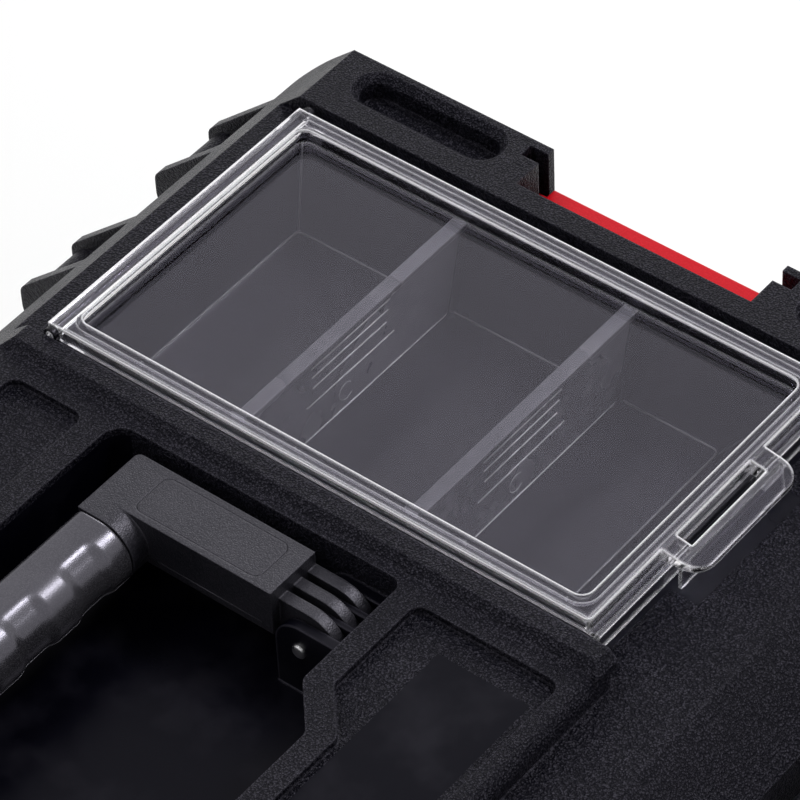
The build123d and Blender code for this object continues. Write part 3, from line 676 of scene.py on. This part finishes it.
latch_plastic = moulded_plastic(
    "latch_plastic",
    dark=(0.002, 0.002, 0.0035, 1),
    light=(0.04, 0.038, 0.048, 1),
    grain=0.0006,
    depth=0.00016,
    matt=(0.32, 0.44),
    shine=0.2,
    edge=0.0009,
    shade_relief=0.6,
)
for hand in hands:
    low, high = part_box(f"latch_lever_{hand}")
    middle = (low.x + high.x) / 2
    cuts = []
    for step in range(groove_count):
        level = low.z + groove_foot + step * groove_pitch
        cuts.append(
            (
                Vector((middle - groove_half_length, low.y - groove_depth, level)),
                Vector((middle + groove_half_length, low.y + groove_depth, level + groove_height)),
            )
        )
    latch = carved(f"latch_lever_{hand}", f"latch_{hand}", cuts)
    dress(latch, latch_plastic)

# Pins and hinge rods: turned steel, zinc plated, pressed into the mouldings.
# The pins of the handle end in a low dome that shows in the pocket.
pin_steel = moulded_plastic(
    "pin_steel",
    dark=(0.55, 0.55, 0.56, 1),
    light=(0.7, 0.7, 0.71, 1),
    grain=0.0006,
    depth=0.00002,
    matt=(0.22, 0.38),
    shine=0.5,
    edge=0.0005,
)
pin_steel.node_tree.nodes["Principled BSDF"].inputs["Metallic"].default_value = 1
for hand in hands:
    for name in ("hinge_rod", "handle_pin", "latch_pin"):
        dress(nodes[f"{name}_{hand}"], pin_steel)
dome_rise = 0.0008
dome_rings = 6
dome_sides = 32
for hand, side in hands.items():
    low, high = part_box(f"handle_pin_{hand}")
    radius = (high.z - low.z) / 2
    end = Vector((low.x if side > 0 else high.x, (low.y + high.y) / 2, (low.z + high.z) / 2))
    builder = bmesh.new()
    rings = []
    for step in range(dome_rings):
        lean = math.radians(90) * step / dome_rings
        reach = radius * math.cos(lean)
        out = Vector((-side * dome_rise * math.sin(lean), 0, 0))
        ring = []
        for k in range(dome_sides):
            turn = 2 * math.pi * k / dome_sides
            ring.append(builder.verts.new(end + out + reach * Vector((0, math.cos(turn), math.sin(turn)))))
        rings.append(ring)
    tip = builder.verts.new(end + Vector((-side * dome_rise, 0, 0)))
    for inner, outer in zip(rings[1:], rings):
        for k in range(dome_sides):
            after = (k + 1) % dome_sides
            builder.faces.new((outer[k], outer[after], inner[after], inner[k]))
    for k in range(dome_sides):
        builder.faces.new((rings[-1][k], rings[-1][(k + 1) % dome_sides], tip))
    builder.faces.new(list(reversed(rings[0])))
    dome = new_piece(f"handle_pin_dome_{hand}", builder)
    dress(dome, pin_steel)
    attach(dome, "lid")

# Feet: black rubber pads with round ends, glued under the tub.
# In a stack they stand in the sockets of the case below.
foot_rubber = moulded_plastic(
    "foot_rubber",
    dark=(0.006, 0.006, 0.006, 1),
    light=(0.018, 0.018, 0.018, 1),
    grain=0.0009,
    depth=0.00015,
    matt=(0.6, 0.8),
    shine=0.2,
    edge=0.0008,
    shade_relief=0.8,
)
for hand in hands:
    for place in ("rear", "front"):
        dress(nodes[f"foot_{place}_{hand}"], foot_rubber)

# Studio: a white floor that runs out of the picture, and white surroundings.
# A soft lamp at the front lights the handle, and two behind the case light the edges of the covers.
floor_span = 6.0
floor_mesh = bpy.data.meshes.new("floor")
corners = [(x * floor_span, y * floor_span, 0) for x, y in ((-1, -1), (1, -1), (1, 1), (-1, 1))]
floor_mesh.from_pydata(corners, [], [(0, 1, 2, 3)])
floor = bpy.data.objects.new("floor", floor_mesh)
bpy.context.scene.collection.objects.link(floor)
floor_paint = bpy.data.materials.new("floor_paint")
floor_paint.use_nodes = True
tree = floor_paint.node_tree
shader = tree.nodes["Principled BSDF"]
shader.inputs["Base Color"].default_value = (0.97, 0.97, 0.97, 1)
shader.inputs["Roughness"].default_value = 0.9
shader.inputs["Specular IOR Level"].default_value = 0
dress(floor, floor_paint)

world = bpy.data.worlds.new("studio")
bpy.context.scene.world = world
world.use_nodes = True
tree = world.node_tree
tree.nodes.clear()
soft = tree.nodes.new("ShaderNodeBackground")
soft.inputs["Color"].default_value = (1, 1, 1, 1)
soft.inputs["Strength"].default_value = 0.5
white = tree.nodes.new("ShaderNodeBackground")
white.inputs["Color"].default_value = (1, 1, 1, 1)
white.inputs["Strength"].default_value = 1
ray = tree.nodes.new("ShaderNodeLightPath")
choice = tree.nodes.new("ShaderNodeMixShader")
surroundings = tree.nodes.new("ShaderNodeOutputWorld")
shown = ray.outputs["Is Camera Ray"]
for kind in ("Is Glossy Ray", "Is Transmission Ray"):
    either = tree.nodes.new("ShaderNodeMath")
    either.operation = "MAXIMUM"
    link(tree, shown, either.inputs[0])
    link(tree, ray.outputs[kind], either.inputs[1])
    shown = either.outputs["Value"]
link(tree, shown, choice.inputs["Fac"])
link(tree, soft.outputs["Background"], choice.inputs[1])
link(tree, white.outputs["Background"], choice.inputs[2])
link(tree, choice.outputs["Shader"], surroundings.inputs["Surface"])


def lamp(name, place, aim, size, energy):
    """A round soft lamp at place, turned to aim."""
    data = bpy.data.lights.new(name, "AREA")
    data.shape = "DISK"
    data.size = size
    data.energy = energy
    light = bpy.data.objects.new(name, data)
    bpy.context.scene.collection.objects.link(light)
    light.location = place
    light.rotation_euler = (Vector(aim) - Vector(place)).to_track_quat("-Z", "Y").to_euler()


lamp("key_lamp", (0.86, -0.6, 1.67), (0.03, 0.03, 0.2), 0.45, 15)
lamp("right_lamp", (1.75, 0.86, 1.06), (0.15, 0, 0.22), 0.7, 8)
lamp("left_lamp", (-0.5, 0.82, 1.7), (0.13, 0, 0.22), 0.5, 5)

# Camera: a long lens from the front left and above, tilted a little.
# It looks at the organizer on the right.
camera_target = Vector((0.15243, 0.01072, 0.223))
camera_turn = math.radians(-49.5)
camera_rise = math.radians(45.26)
camera_roll = math.radians(-2.93)
camera_distance = 1.33783
level = math.cos(camera_rise)
back = Vector((math.sin(camera_turn) * level, -math.cos(camera_turn) * level, math.sin(camera_rise)))
right = (-back).cross(Vector((0, 0, 1))).normalized()
up = right.cross(-back)
rolled_right = math.cos(camera_roll) * right + math.sin(camera_roll) * up
rolled_up = math.cos(camera_roll) * up - math.sin(camera_roll) * right
camera_data = bpy.data.cameras.new("camera")
camera_data.sensor_width = 36
camera_data.lens = 207.56
camera = bpy.data.objects.new("camera", camera_data)
bpy.context.scene.collection.objects.link(camera)
turned = Matrix((rolled_right, rolled_up, back)).transposed().to_4x4()
camera.matrix_world = Matrix.Translation(camera_target + back * camera_distance) @ turned
bpy.context.scene.camera = camera
bpy.context.scene.view_settings.view_transform = "Standard"
